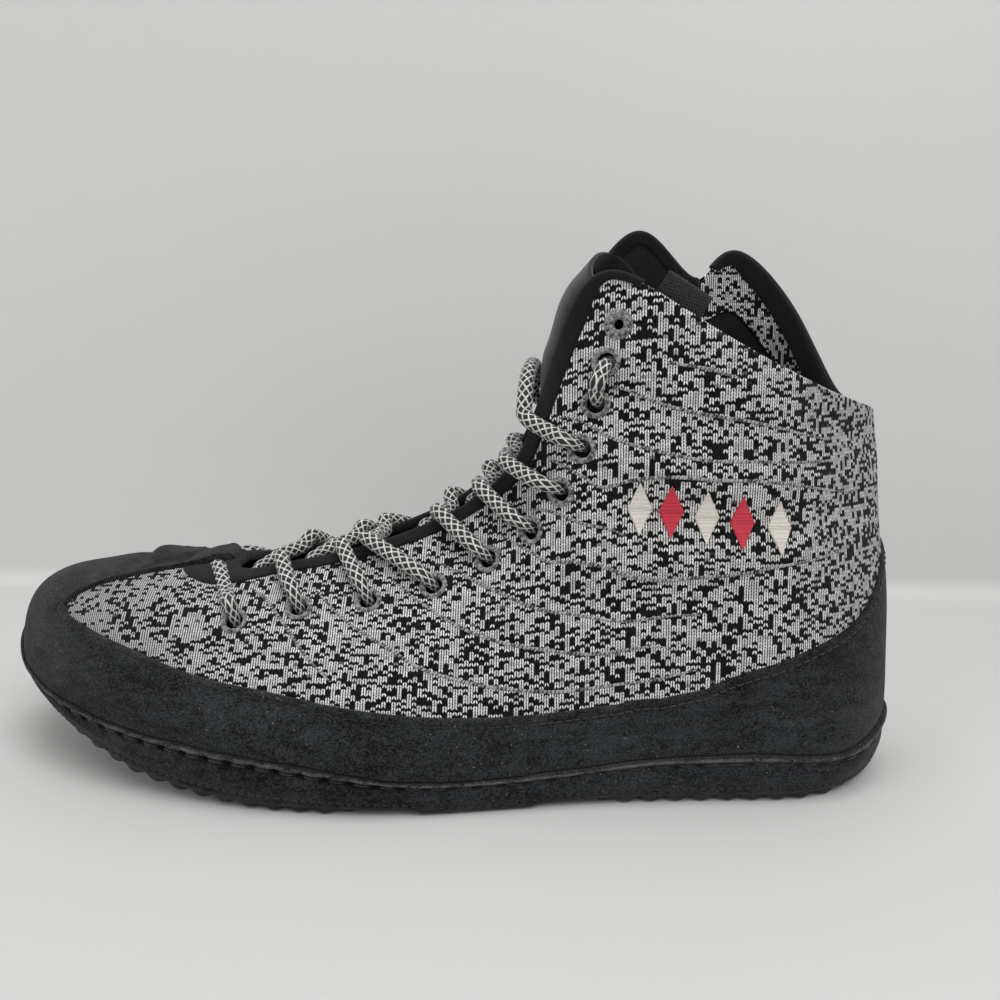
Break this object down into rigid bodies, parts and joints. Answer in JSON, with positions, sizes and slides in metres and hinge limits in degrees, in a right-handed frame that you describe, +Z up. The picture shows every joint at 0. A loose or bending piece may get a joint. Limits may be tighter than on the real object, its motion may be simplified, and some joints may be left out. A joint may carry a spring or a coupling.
{
  "type": "wrestling shoe",
  "caption": "High-top left wrestling shoe with a knit upper, suede toe guard and heel counter, a thin sole with separate forefoot and heel pods, and a long laced throat.",
  "frame": {"origin": "Centre of the bounding box in X and Y, on the floor that the sole stands on.", "axes": "+X runs from the toe to the heel, +Y to the inner (medial) side, +Z up. The outer side faces -Y."},
  "size_m": [0.2928, 0.106, 0.1696],
  "materials": {
    "knit": "heathered grey and black knit",
    "suede": "charcoal suede with a short nap",
    "rubber": "matt black moulded rubber",
    "tape": "black woven tape",
    "lining": "black lining cloth",
    "thread": "grey satin stitch",
    "cord": "round braid, black with off-white tracers"
  },
  "bodies": {
    "root": {"upper": "knit", "toe_mudguard": "suede", "heel_counter": "suede", "midsole": "suede", "outsole_forefoot": "rubber", "outsole_heel": "rubber", "insole": "lining", "tongue": "lining", "throat_binding": "tape", "collar_binding": "tape", "pull_tab": "tape", "eyelet_lateral_01": "thread", "eyelet_lateral_02": "thread", "eyelet_lateral_03": "thread", "eyelet_lateral_04": "thread", "eyelet_lateral_05": "thread", "eyelet_lateral_06": "thread", "eyelet_lateral_07": "thread", "eyelet_lateral_08": "thread", "eyelet_lateral_09": "thread", "eyelet_lateral_10": "thread", "eyelet_lateral_11": "thread", "eyelet_medial_01": "thread", "eyelet_medial_02": "thread", "eyelet_medial_03": "thread", "eyelet_medial_04": "thread", "eyelet_medial_05": "thread", "eyelet_medial_06": "thread", "eyelet_medial_07": "thread", "eyelet_medial_08": "thread", "eyelet_medial_09": "thread", "eyelet_medial_10": "thread", "eyelet_medial_11": "thread", "lace_bar": "cord", "lace_crossing_01": "cord", "lace_crossing_02": "cord", "lace_crossing_03": "cord", "lace_crossing_04": "cord", "lace_crossing_05": "cord", "lace_crossing_06": "cord", "lace_crossing_07": "cord", "lace_side_lateral": "cord", "lace_side_medial": "cord"}
  },
  "joints": []
}
